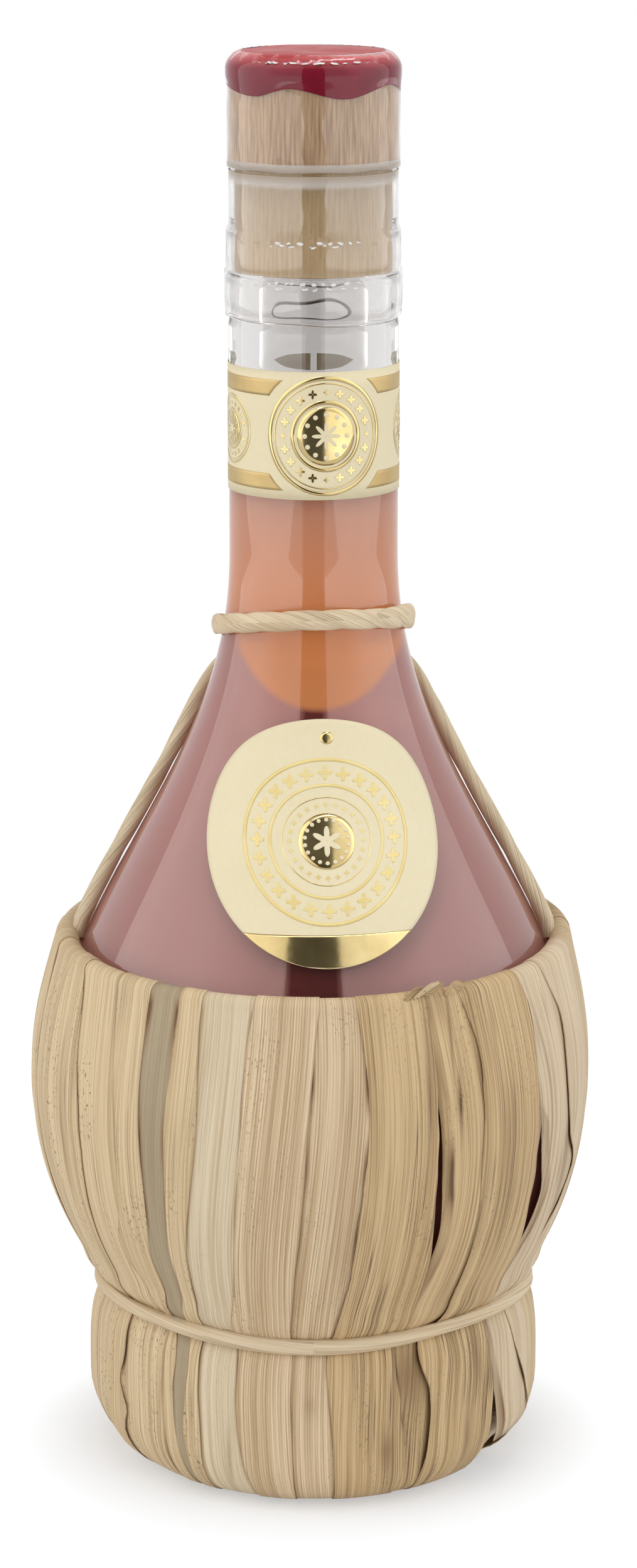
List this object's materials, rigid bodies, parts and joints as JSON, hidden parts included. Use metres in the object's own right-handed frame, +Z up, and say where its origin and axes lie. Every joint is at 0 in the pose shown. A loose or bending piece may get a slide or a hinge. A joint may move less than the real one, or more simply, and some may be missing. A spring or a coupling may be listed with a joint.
{
  "type": "straw covered bottle",
  "caption": "Round-bottomed glass flask with a wax-dipped wooden stopper, held in a tied basket of dry straw leaves with a foot ring and a neck cord.",
  "frame": {"origin": "on the floor under the bottle's axis, at the centre of the basket's foot", "axes": "+Z up along the bottle's axis; -Y is the front, where the shoulder label is; +X to the right seen from the front"},
  "size_m": [0.0987, 0.0989, 0.2499],
  "materials": {
    "clear_glass": "clear polished glass",
    "rose_liquid": "clear rose-coloured liquid",
    "clear_film": "clear shrink film, glossy, finely wrinkled",
    "birch_wood": "turned pale wood, fine grain, matt",
    "cork": "pressed cork, matt",
    "red_wax": "dipped crimson sealing wax, glossy",
    "cream_paper": "cream label paper with gold foil ornament",
    "twisted_straw": "twisted pale straw cord, matt, fibrous",
    "pale_leaf": "dry pale leaf with fine lengthwise fibres",
    "brown_leaf": "dry light brown leaf with lengthwise fibres",
    "grey_leaf": "dry grey-green leaf with lengthwise fibres"
  },
  "bodies": {
    "root": {"glass_flask": "clear_glass", "rose_liquid": "rose_liquid", "seal_film_neck": "clear_film", "neck_label": "cream_paper", "shoulder_label": "cream_paper", "neck_cord": "twisted_straw", "side_cord_left": "twisted_straw", "side_cord_right": "twisted_straw", "rim_hoop": "twisted_straw", "waist_cord": "twisted_straw", "foot_roll_lower": "twisted_straw", "foot_roll_upper": "twisted_straw", "straw_leaf_01": "pale_leaf", "straw_leaf_02": "brown_leaf", "straw_leaf_03": "grey_leaf", "straw_leaf_04": "pale_leaf", "straw_leaf_05": "brown_leaf", "straw_leaf_06": "grey_leaf", "straw_leaf_07": "pale_leaf", "straw_leaf_08": "brown_leaf", "straw_leaf_09": "grey_leaf", "straw_leaf_10": "pale_leaf", "straw_leaf_11": "brown_leaf", "straw_leaf_12": "grey_leaf", "straw_leaf_13": "pale_leaf", "straw_leaf_14": "brown_leaf", "straw_leaf_15": "grey_leaf", "straw_leaf_16": "pale_leaf", "straw_leaf_17": "brown_leaf", "straw_leaf_18": "grey_leaf", "straw_leaf_19": "pale_leaf", "straw_leaf_20": "brown_leaf", "straw_leaf_21": "grey_leaf", "straw_leaf_22": "pale_leaf", "straw_leaf_23": "brown_leaf", "straw_leaf_24": "grey_leaf", "straw_leaf_25": "pale_leaf", "straw_leaf_26": "brown_leaf"},
    "stopper": {"stopper_head": "birch_wood", "stopper_shank": "cork", "wax_dip": "red_wax", "seal_film_top": "clear_film"}
  },
  "joints": [
    {"name": "stopper_pull", "type": "slide", "parent": "root", "child": "stopper", "axis": [0, 0, 1], "range_m": [0, 0.03]}
  ]
}
